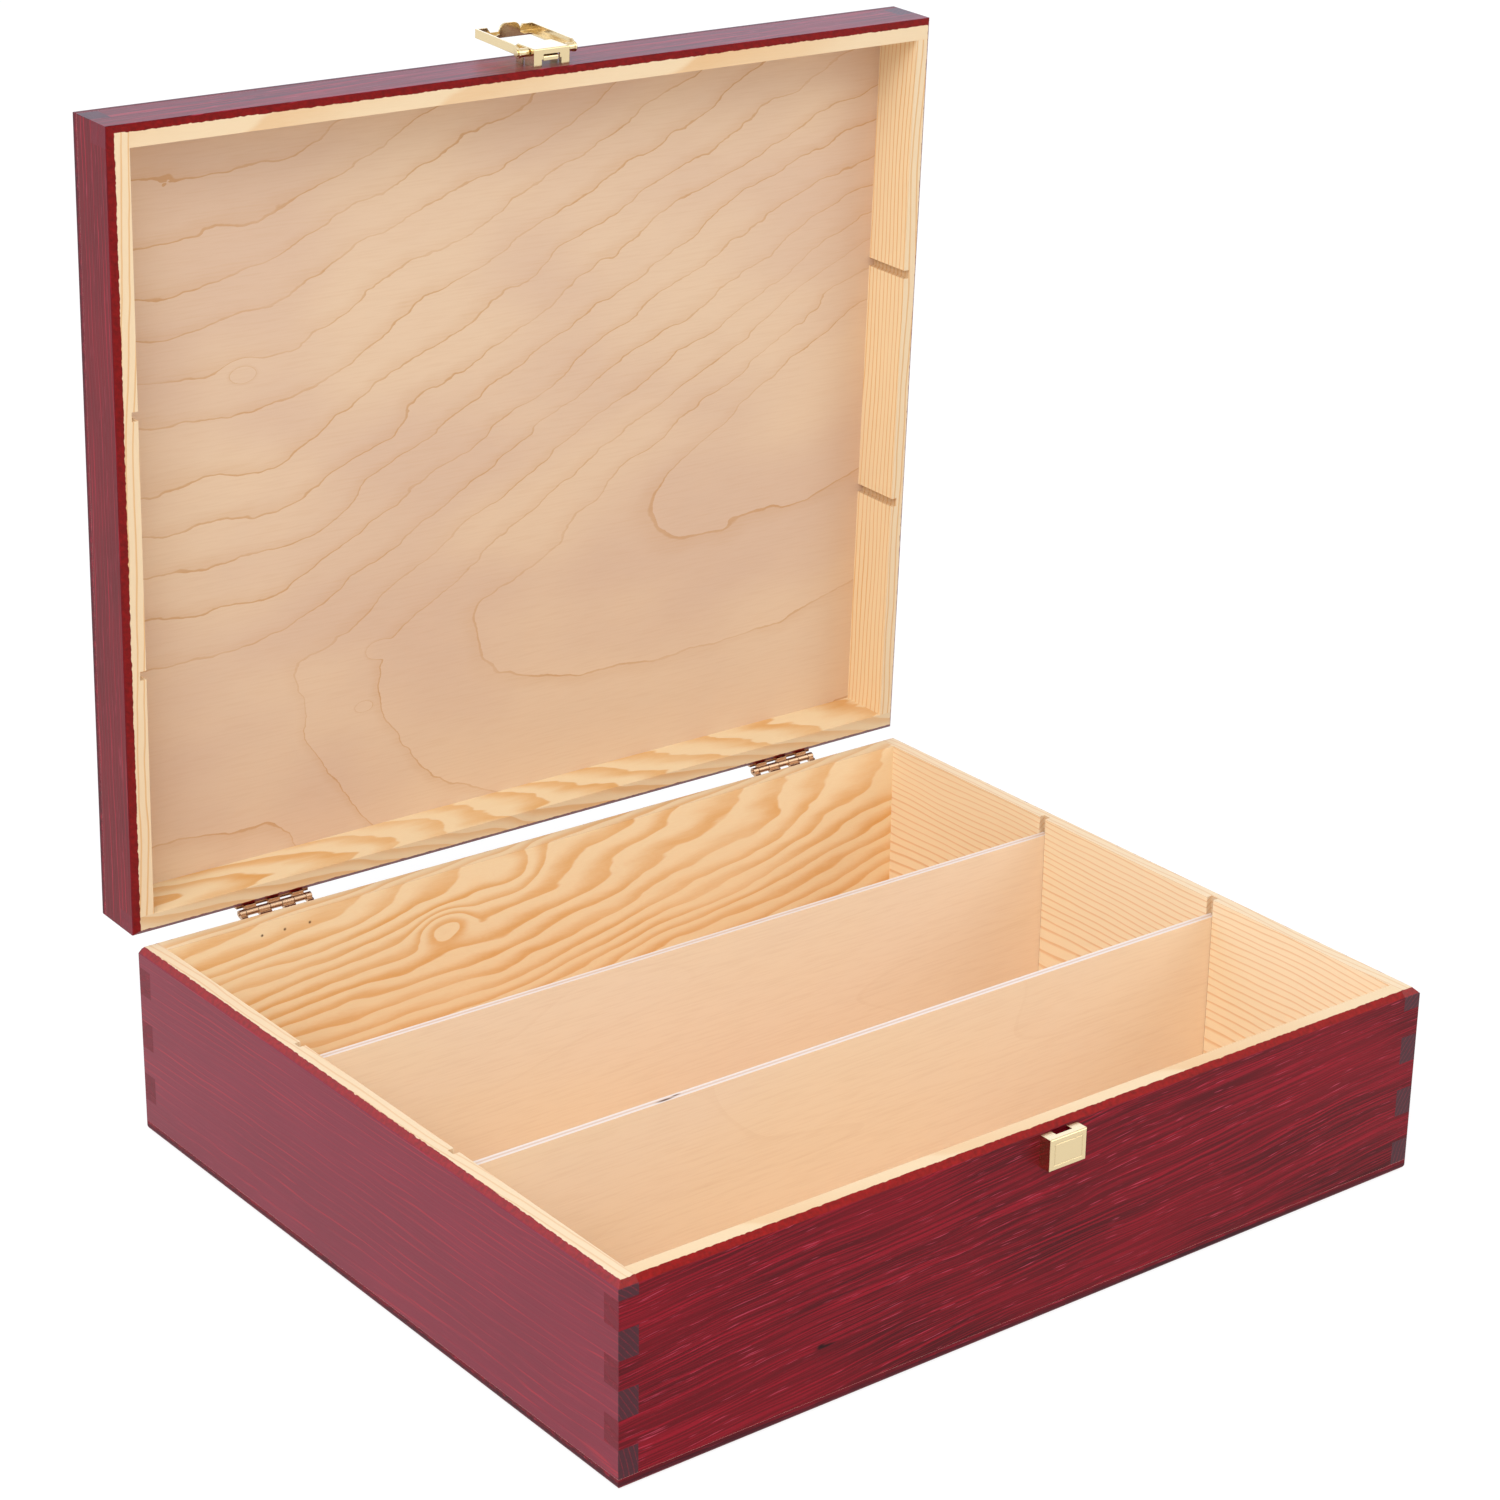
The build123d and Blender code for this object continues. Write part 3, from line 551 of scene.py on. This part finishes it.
def birch_panel(name, lid, seed):
    """Three-ply panel of peeled birch, glued over the boards. Inside it is bare and satin, with thin growth
    lines up to 20 mm apart, because the peeling knife meets each ring at a very flat angle. Outside it is
    stained like the boards, and its rounded edge shows the plies as dark and light bands, with a thin
    painted highlight along the rounding near each face."""
    scene = bpy.context.scene
    stain, wood = scene.box_stain, scene.box_wood
    material, nodes = start_material(name)
    place = shut_place(nodes, lid)
    height = add(nodes, "SeparateXYZ", {0: place}, output=2)
    level, gap = veneer_rings(nodes, place, seed)
    for centre, reach, lift in (((-114.8, -47.4), 12, 1.3), ((-60.0, 68.2), 9, 0.9), ((-67, 90), 7, 0.5)):
        burl = spot(nodes, place, (*centre, PANEL_FACES[lid]), (reach, 0.6 * reach, 50))
        level = add(nodes, "Math", {0: burl, 1: lift, 2: level}, operation="MULTIPLY_ADD")
    bare = veneer_face(nodes, place, level, gap, seed + 40, wood.birch, contrast=0.62)

    clouds = patches(nodes, place, (110, 40, 40), seed + 2)
    turns = add(nodes, "Math", {0: level, 1: 3.0}, operation="MULTIPLY")
    red = stained_face(nodes, place, late_wood(nodes, turns), clouds, seed, stain.mid)
    off_middle = add(nodes, "Math", {0: height, 1: PANEL_MIDDLES[lid]}, operation="SUBTRACT")
    off_middle = add(nodes, "Math", {0: off_middle}, operation="ABSOLUTE")
    core = add(
        nodes,
        "MapRange",
        {"Value": off_middle, "From Min": 0.6, "From Max": 0.8, "To Min": 0.7, "To Max": 0.25},
    )
    inside = edge_distance(nodes, place, 0.0)
    at_edge = add(
        nodes,
        "MapRange",
        {"Value": inside, "From Min": 0.1, "From Max": 0.5, "To Min": 1.0, "To Max": 0.0},
    )
    core = add(nodes, "Math", {0: core, 1: at_edge}, operation="MULTIPLY")
    red = add(nodes, "Mix", {0: core, 6: red, 7: rgba(stain.end_grain)}, 2, data_type="RGBA")
    # Painted highlight: a thin pale line near each face of the panel's edge, where the rounding catches the
    # light.
    edge_highlight = add(nodes, "MapRange", {"Value": off_middle, "From Min": 1.7, "From Max": 1.9, "To Max": 0.3})
    edge_highlight = add(nodes, "Math", {0: edge_highlight, 1: at_edge}, operation="MULTIPLY")
    red = add(nodes, "Mix", {0: edge_highlight, 6: red, 7: rgba(stain.dash)}, 2, data_type="RGBA")
    outward = add(nodes, "Math", {0: height, 1: PANEL_FACES[lid]}, operation="SUBTRACT")
    outward = add(nodes, "Math", {0: outward, 1: 1.0 if lid else -1.0}, operation="MULTIPLY")
    stained = add(nodes, "MapRange", {"Value": outward, "From Min": 0.01, "From Max": 0.04})
    surface = add(nodes, "Mix", {0: stained, 6: bare, 7: red}, 2, data_type="RGBA")
    fibres = patches(nodes, place, (14, 0.7, 3), seed + 7, detail=3.0)
    normal = add(nodes, "Bump", {"Strength": 0.08, "Distance": SAWN_RELIEF, "Height": fibres})
    shader = add(
        nodes,
        "BsdfPrincipled",
        {"Base Color": surface, "Roughness": wood.panel_roughness, "IOR": stain.ior, "Normal": normal},
    )
    add(nodes, "OutputMaterial", {"Surface": shader})
    return material


def birch_divider(name, middle, seed, marks=()):
    """Thin sanded birch plywood, bare all over: smooth peach faces with faint drawn-out lines, and sawn edges
    whose veneers show as two pale lines beside a darker core. Marks are resin specks on the edge."""
    wood = bpy.context.scene.box_wood
    material, nodes = start_material(name)
    place = shut_place(nodes, False)
    wave = patches(nodes, place, (260, 400, 60), seed, detail=1.0)
    level = add(nodes, "Math", {0: wave, 1: 5.0}, operation="MULTIPLY")
    face = veneer_face(nodes, place, level, 30.0, seed + 11, wood.divider, contrast=0.06)
    depth = add(nodes, "SeparateXYZ", {0: place}, output=1)
    across = add(nodes, "Math", {0: depth, 1: middle}, operation="SUBTRACT")
    across = add(nodes, "Math", {0: across}, operation="ABSOLUTE")
    core = add(
        nodes,
        "MapRange",
        {"Value": across, "From Min": 0.35, "From Max": 0.6, "To Min": 0.4, "To Max": 0.0},
    )
    edge = add(nodes, "Mix", {0: core, 6: rgba(wood.ply_edge), 7: rgba(wood.birch_line)}, 2, data_type="RGBA")
    for centre, reach in marks:
        dot = spot(nodes, place, centre, reach)
        edge = add(nodes, "Mix", {0: dot, 6: edge, 7: rgba(wood.speck)}, 2, data_type="RGBA")
    on_face = add(
        nodes,
        "MapRange",
        {"Value": across, "From Min": DIVIDER_HALF - 0.08, "From Max": DIVIDER_HALF - 0.01},
    )
    surface = add(nodes, "Mix", {0: on_face, 6: edge, 7: face}, 2, data_type="RGBA")
    fibres = patches(nodes, place, (22, 400, 0.9), seed + 3, detail=3.0)
    normal = add(nodes, "Bump", {"Strength": 0.06, "Distance": SANDED_RELIEF, "Height": fibres})
    inputs = {
        "Base Color": surface,
        "Roughness": wood.divider_roughness,
        "IOR": wood.divider_ior,
        "Normal": normal,
    }
    shader = add(nodes, "BsdfPrincipled", inputs)
    add(nodes, "OutputMaterial", {"Surface": shader})
    return material


def pressed_brass(name, tint, roughness):
    """Pressed and lacquered brass sheet: a bright pale metal whose folds are a quarter of a millimetre round,
    with faint rolling marks that blur its reflections a little. The marks are drawn a quarter of a millimetre
    wide, coarser than real ones, so that they show."""
    material, nodes = start_material(name)
    place = shut_place(nodes, False)
    marks = patches(nodes, place, (6, 0.25, 0.25), seed=3.0)
    dull = add(nodes, "MapRange", {"Value": marks, "To Min": roughness - 0.07, "To Max": roughness + 0.07})
    folds = add(nodes, "Bevel", {"Radius": FOLD_RADIUS}, samples=4)
    inputs = {"Strength": 0.05, "Distance": ROLLED_RELIEF, "Height": marks, "Normal": folds}
    normal = add(nodes, "Bump", inputs)
    shader = add(
        nodes,
        "BsdfPrincipled",
        {"Base Color": rgba(tint), "Metallic": 1.0, "Roughness": dull, "Normal": normal},
    )
    add(nodes, "OutputMaterial", {"Surface": shader})
    return material


def finish(node, material):
    """Gives a piece of the box one material."""
    slots = frame["nodes"][node].data.materials
    slots.clear()
    slots.append(material)


def board_set():
    """Grain of the four boards of the box. Each board was sawn through into base and lid, so both halves
    share it. Along a board runs u, its depth is v and its height is w, in millimetres.

    pith: v and w of the trunk's middle. slant: its drift in v and w per millimetre of u. spacing: width of a
    ring. wobble: drift of the grain. late_start: share of a year before summer growth. contrast: strength of
    the bare rings at the foot of the base, at its rim and on the lid. ring_share: how closely the stain holds
    to the rings. end_share and end_tint: stain of the ends. knots: centre, reach and rings added. knot_spots
    and specks: centre and reach. The rest are for base and lid: mid, the stain's colour, drink, its blots,
    ior, its gloss, tone, the level of the bare wood, and pale, its share of sapwood."""
    look, sizes = bpy.context.scene.box_stain, bpy.context.scene.box_grain
    return {
        "front": {
            "pith": (-110.0, -90.0),
            "slant": (0.0, 0.06),
            "spacing": sizes.front,
            "wobble": 4.0,
            "seed": 11.0,
            "late_start": 0.2,
            "contrast": (0.4, 0.2, 0.4),
            "mid": (look.mid, look.mid),
            "drink": (1.0, 1.0),
            "ring_share": 0.3,
            "ior": (look.ior, look.ior),
            "painted_light_level": (1.0, 1.0),
            "pale": (0.0, 0.0),
            "end_share": 0.85,
            "end_tint": look.end_sheen,
            "knot_spots": (((-96, -147, 23), (2.6, 2, 1.6)), ((-94, -147, 22.6), (7, 2, 1.0))),
        },
        "back": {
            "pith": (178.6, 78.0),
            "slant": (0.17, 0.0),
            "spacing": sizes.back,
            "wobble": 9.0,
            "seed": 23.0,
            "late_start": 0.2,
            "contrast": (1.0, 1.0, 1.0),
            "mid": (look.mid, look.mid),
            "drink": (1.0, 1.0),
            "ring_share": 0.3,
            "ior": (look.ior, look.ior),
            # Painted shade: the lid's back board, which faces up when the lid stands open, is drawn darker.
            "painted_light_level": (1.02, 0.87),
            "pale": (0.0, 0.0),
            "end_share": 0.85,
            "end_tint": look.end_sheen,
            "knots": (((-51, 139, 51), (20, 40, 12), 1.8), ((-20, 139, 66), (22, 40, 20), -0.9)),
            "specks": [((x, 139.4, 68.0), (0.9, 2, 0.9)) for x in (-129.0, -119.5, -109.0)],
        },
        "left": {
            "pith": (-241.0, -12.0),
            "slant": (0.0, 0.02),
            "spacing": sizes.side,
            "wobble": 3.0,
            "seed": 37.0,
            "late_start": 0.65,
            "contrast": (0.8, 0.6, 0.6),
            # The base's side stain is partly a painted cool sheen.
            "mid": (look.side_mid_and_sheen, look.mid),
            "drink": (0.15, 0.45),
            "ring_share": 0.9,
            "ior": (look.side_ior, look.lid_ior),
            "painted_light_level": (1.0, 1.0),
            "pale": (0.3, 0.0),
            "end_share": 0.85,
            "end_tint": look.end_grain,
        },
        "right": {
            "pith": (241.0, -12.0),
            "slant": (0.0, -0.01),
            "spacing": sizes.side,
            "wobble": 2.6,
            "seed": 41.0,
            "late_start": 0.65,
            "contrast": (1.7, 1.4, 1.0),
            # The base's side stain is partly a painted cool sheen.
            "mid": (look.side_mid_and_sheen, look.mid),
            "drink": (0.15, 0.45),
            "ring_share": 0.9,
            "ior": (look.side_ior, look.lid_ior),
            # Painted light: the base's right wall, which takes light from the left, is drawn a little
            # lighter.
            "painted_light_level": (1.02, 0.98),
            "pale": (0.35, 0.0),
            "end_share": 0.85,
            "end_tint": look.end_grain,
        },
    }


def finish_boards(half, lid):
    """Finishes the four boards of one half of the box."""
    for side, board in board_set().items():
        across = side in ("left", "right")
        finish(f"{half}_{side}_board", pine_board(f"stained_pine_{half}_{side}", lid, across, board))


class BOX_OT_base_boards(bpy.types.Operator):
    """Finishes the four boards of the base"""

    bl_idname = "wine_box.base_boards"
    bl_label = "Base boards"

    def execute(self, context):
        finish_boards("base", False)
        return {"FINISHED"}


class BOX_OT_lid_boards(bpy.types.Operator):
    """Finishes the four boards of the lid"""

    bl_idname = "wine_box.lid_boards"
    bl_label = "Lid boards"

    def execute(self, context):
        finish_boards("lid", True)
        return {"FINISHED"}


class BOX_OT_panels(bpy.types.Operator):
    """Finishes the plywood top and bottom"""

    bl_idname = "wine_box.panels"
    bl_label = "Plywood panels"

    def execute(self, context):
        finish("base_bottom_panel", birch_panel("birch_plywood_bottom", lid=False, seed=51.0))
        finish("lid_top_panel", birch_panel("birch_plywood_top", lid=True, seed=57.0))
        return {"FINISHED"}


class BOX_OT_dividers(bpy.types.Operator):
    """Finishes the two loose dividers"""

    bl_idname = "wine_box.dividers"
    bl_label = "Dividers"

    def execute(self, context):
        marks = (((-85.0, -47.6, 66.0), (6.0, 0.9, 2.0)), ((-80.0, -46.9, 66.0), (3.0, 0.6, 2.0)))
        front = birch_divider("sanded_birch_front", -DIVIDER_MIDDLE, seed=61.0, marks=marks)
        finish("divider_front", front)
        finish("divider_rear", birch_divider("sanded_birch_rear", DIVIDER_MIDDLE, seed=67.0))
        return {"FINISHED"}


class BOX_OT_hinges(bpy.types.Operator):
    """Finishes hinge leaves, pins and screws"""

    bl_idname = "wine_box.hinges"
    bl_label = "Hinges"

    def execute(self, context):
        look = context.scene.box_brass
        brass = pressed_brass("rolled_hinge_brass", look.hinge, look.hinge_roughness)
        for node in frame["nodes"]:
            if node.startswith("hinge_"):
                finish(node, brass)
        return {"FINISHED"}


class BOX_OT_latch(bpy.types.Operator):
    """Finishes the catch, the housing, the lever and its pin and spring"""

    bl_idname = "wine_box.latch"
    bl_label = "Latch"

    def execute(self, context):
        look = context.scene.box_brass
        brass = pressed_brass("pressed_latch_brass", look.plate, look.roughness)
        for node in frame["nodes"]:
            if node.startswith("latch_") or node == "catch_box":
                finish(node, brass)
        return {"FINISHED"}


def flat_square(name, half):
    """Level square at height 0. Corner k is half sqrt(2) (cos t, sin t) with t = 45 + 90 k degrees."""
    angles = np.radians(45 + 90 * np.arange(4))
    corners = half * math.sqrt(2) * np.stack([np.cos(angles), np.sin(angles), 0 * angles], axis=1)
    mesh = bpy.data.meshes.new(name)
    mesh.from_pydata(corners.tolist(), [], [(0, 1, 2, 3)])
    piece = bpy.data.objects.new(name, mesh)
    bpy.context.scene.collection.objects.link(piece)
    return piece


def sees_backdrop(nodes):
    """1 for rays from the camera, a mirroring surface or glass, which see the backdrop white, otherwise 0."""
    rays = add(nodes, "LightPath").node.outputs
    seen = add(nodes, "Math", {0: rays["Is Camera Ray"], 1: rays["Is Glossy Ray"]}, operation="MAXIMUM")
    return add(nodes, "Math", {0: seen, 1: rays["Is Transmission Ray"]}, operation="MAXIMUM")


def white_paper(sizes):
    """Matt white photographic paper: seen or mirrored it is almost as bright as its backdrop and keeps a
    faint shadow, and for all other light it is a plain pale floor."""
    material, nodes = start_material("matt_white_paper")
    matt = add(nodes, "BsdfDiffuse", {"Color": rgba(sizes.paper)})
    shaded = add(nodes, "BsdfDiffuse", {"Color": rgba(sizes.paper_shade)})
    glow = add(nodes, "Emission", {"Color": rgba(linear("FFFFFF")), "Strength": sizes.paper_glow})
    pale = add(nodes, "AddShader", {0: shaded, 1: glow})
    paper = add(nodes, "MixShader", {0: sees_backdrop(nodes), 1: matt, 2: pale})
    add(nodes, "OutputMaterial", {"Surface": paper})
    return material


class BOX_OT_stage(bpy.types.Operator):
    """Sets the floor, the light and the camera"""

    bl_idname = "wine_box.stage"
    bl_label = "Stage"

    def execute(self, context):
        scene = context.scene
        sizes = scene.box_stage
        floor = flat_square("floor", sizes.floor_half)
        floor.data.materials.append(white_paper(sizes))

        world = bpy.data.worlds.new("white_studio")
        scene.world = world
        world.use_nodes = True
        nodes = world.node_tree.nodes
        nodes.clear()
        inputs = {"Value": sees_backdrop(nodes), "To Min": sizes.sky, "To Max": 1.0}
        level = add(nodes, "MapRange", inputs)
        backdrop = add(nodes, "Background", {"Color": rgba(linear("FFFFFF")), "Strength": level})
        add(nodes, "OutputWorld", {"Surface": backdrop})

        lamps = (
            ("key_softbox", (-1.8, -1.35, 2.35), sizes.key, 1.8, "FFFFFF"),
            ("fill_softbox", (1.9, -1.8, 1.6), sizes.fill, 1.6, "FFFFFF"),
            ("back_softbox", (-2.3, 1.7, 1.1), sizes.back, 2.0, "C8D8FF"),
            ("rear_softbox", (1.9, 2.5, 1.0), sizes.rear, 1.8, "C0D4FF"),
        )
        box_middle = Vector((0, 0, 0.1))
        for name, place, power, size, tint in lamps:
            lamp = bpy.data.lights.new(name, "AREA")
            lamp.color = linear(tint)
            lamp.energy = power
            lamp.size = size
            light = bpy.data.objects.new(name, lamp)
            aim = box_middle - Vector(place)
            light.location = place
            light.rotation_euler = aim.to_track_quat("-Z", "Y").to_euler()
            scene.collection.objects.link(light)

        lens = bpy.data.cameras.new("photo_camera")
        lens.sensor_width = SENSOR_WIDTH
        lens.lens = sizes.focal_px * SENSOR_WIDTH / PHOTO_SIZE
        lens.shift_x = (PHOTO_SIZE / 2 - PHOTO_CENTRE[0]) / PHOTO_SIZE
        lens.shift_y = (PHOTO_CENTRE[1] - PHOTO_SIZE / 2) / PHOTO_SIZE
        rows = Matrix.Rotation(CAMERA_TURN.length, 3, CAMERA_TURN)
        axes = Matrix((rows[0], -rows[1], -rows[2])).transposed()
        camera = bpy.data.objects.new("photo_camera", lens)
        camera.matrix_world = Matrix.Translation(-(rows.transposed() @ CAMERA_SHIFT)) @ axes.to_4x4()
        scene.collection.objects.link(camera)
        scene.camera = camera
        scene.view_settings.view_transform = "Standard"
        return {"FINISHED"}


class BOX_PT_panel(bpy.types.Panel):
    """Lists the pieces of the wine box"""

    bl_label = "Wine Box"
    bl_idname = "BOX_PT_panel"
    bl_space_type = "VIEW_3D"
    bl_region_type = "UI"
    bl_category = "Wine Box"

    def draw(self, context):
        for operator in OPERATORS:
            self.layout.operator(operator.bl_idname)
        for group in GROUPS:
            box = self.layout.box()
            settings = getattr(context.scene, group)
            for name in settings.bl_rna.properties.keys():
                if name not in ("rna_type", "name"):
                    box.prop(settings, name)


OPERATORS = (
    BOX_OT_base_boards,
    BOX_OT_lid_boards,
    BOX_OT_panels,
    BOX_OT_dividers,
    BOX_OT_hinges,
    BOX_OT_latch,
    BOX_OT_stage,
)
GROUPS = {
    "box_stain": StainLook,
    "box_wood": WoodLook,
    "box_grain": GrainSizes,
    "box_brass": BrassLook,
    "box_stage": StageSizes,
}


def register():
    for settings in GROUPS.values():
        bpy.utils.register_class(settings)
    for shown in (*OPERATORS, BOX_PT_panel):
        bpy.utils.register_class(shown)
    for name, settings in GROUPS.items():
        setattr(bpy.types.Scene, name, bpy.props.PointerProperty(type=settings))


def unregister():
    for name in GROUPS:
        delattr(bpy.types.Scene, name)
    for shown in reversed((*OPERATORS, BOX_PT_panel)):
        bpy.utils.unregister_class(shown)
    for settings in reversed(list(GROUPS.values())):
        bpy.utils.unregister_class(settings)


def main():
    register()
    bpy.ops.wine_box.base_boards()
    bpy.ops.wine_box.lid_boards()
    bpy.ops.wine_box.panels()
    bpy.ops.wine_box.dividers()
    bpy.ops.wine_box.hinges()
    bpy.ops.wine_box.latch()
    bpy.ops.wine_box.stage()


if __name__ == "__main__":
    main()
